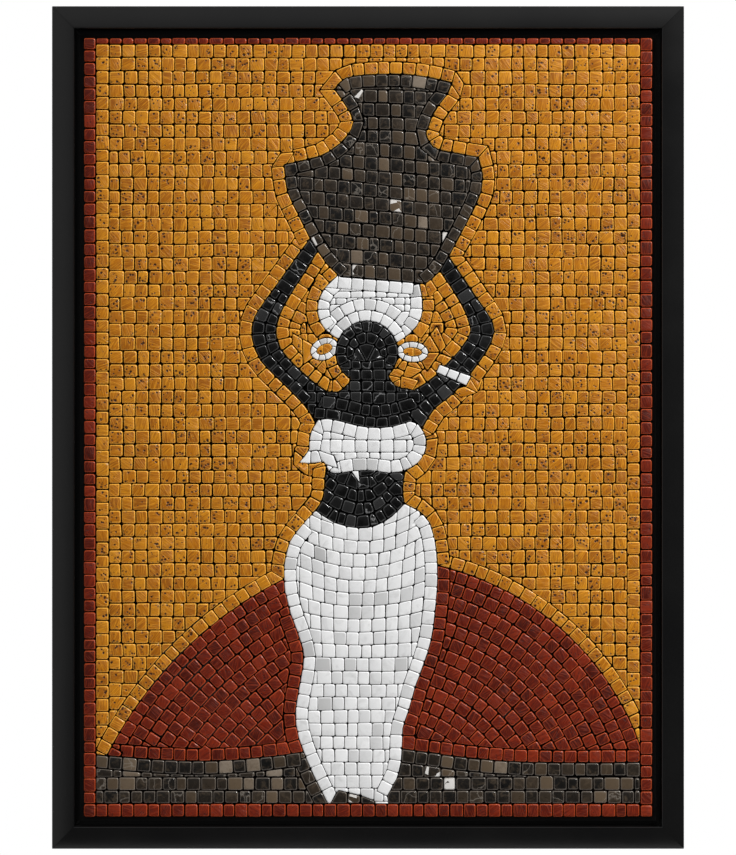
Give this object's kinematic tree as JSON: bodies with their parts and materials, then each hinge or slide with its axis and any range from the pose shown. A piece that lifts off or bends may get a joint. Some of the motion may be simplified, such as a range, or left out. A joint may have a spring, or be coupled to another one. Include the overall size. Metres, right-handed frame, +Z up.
{
  "type": "mosaic panel in floating frame",
  "caption": "Upright wall panel of small cut stones showing a water carrier with a jar, on a black board set into a mitred floating frame with an open gap all round.",
  "frame": {"origin": "middle of the top rail's back face, where the frame bears on the wall and hangs from it", "axes": "+Z up, +Y back into the wall, +X to the right of someone facing the picture"},
  "size_m": [0.51, 0.035, 0.68],
  "materials": {
    "frame_lacquer": "satin",
    "board": "matte",
    "red_stone": "satin",
    "ochre_stone": "satin",
    "brown_marble": "satin",
    "black_marble": "satin",
    "white_marble": "satin"
  },
  "bodies": {
    "root": {"frame_rail_top": "frame_lacquer", "frame_rail_bottom": "frame_lacquer", "frame_rail_left": "frame_lacquer", "frame_rail_right": "frame_lacquer", "backing_board": "board", "border_column_left": "red_stone", "border_column_right": "red_stone", "border_row_top": "red_stone", "border_row_bottom": "red_stone", "hill_left": "red_stone", "hill_right": "red_stone", "field": "ochre_stone", "field_between_left_arm_and_head": "ochre_stone", "field_between_right_arm_and_head": "ochre_stone", "field_in_left_earring": "ochre_stone", "field_in_right_earring": "ochre_stone", "jar": "brown_marble", "ground_left": "brown_marble", "ground_under_hem": "brown_marble", "ground_right": "brown_marble", "head_shoulders_and_left_arm": "black_marble", "right_forearm": "black_marble", "midriff": "black_marble", "head_scarf": "white_marble", "earring_left": "white_marble", "earring_right": "white_marble", "armlet": "white_marble", "bandeau": "white_marble", "cloth_end": "white_marble", "skirt": "white_marble"}
  },
  "joints": []
}
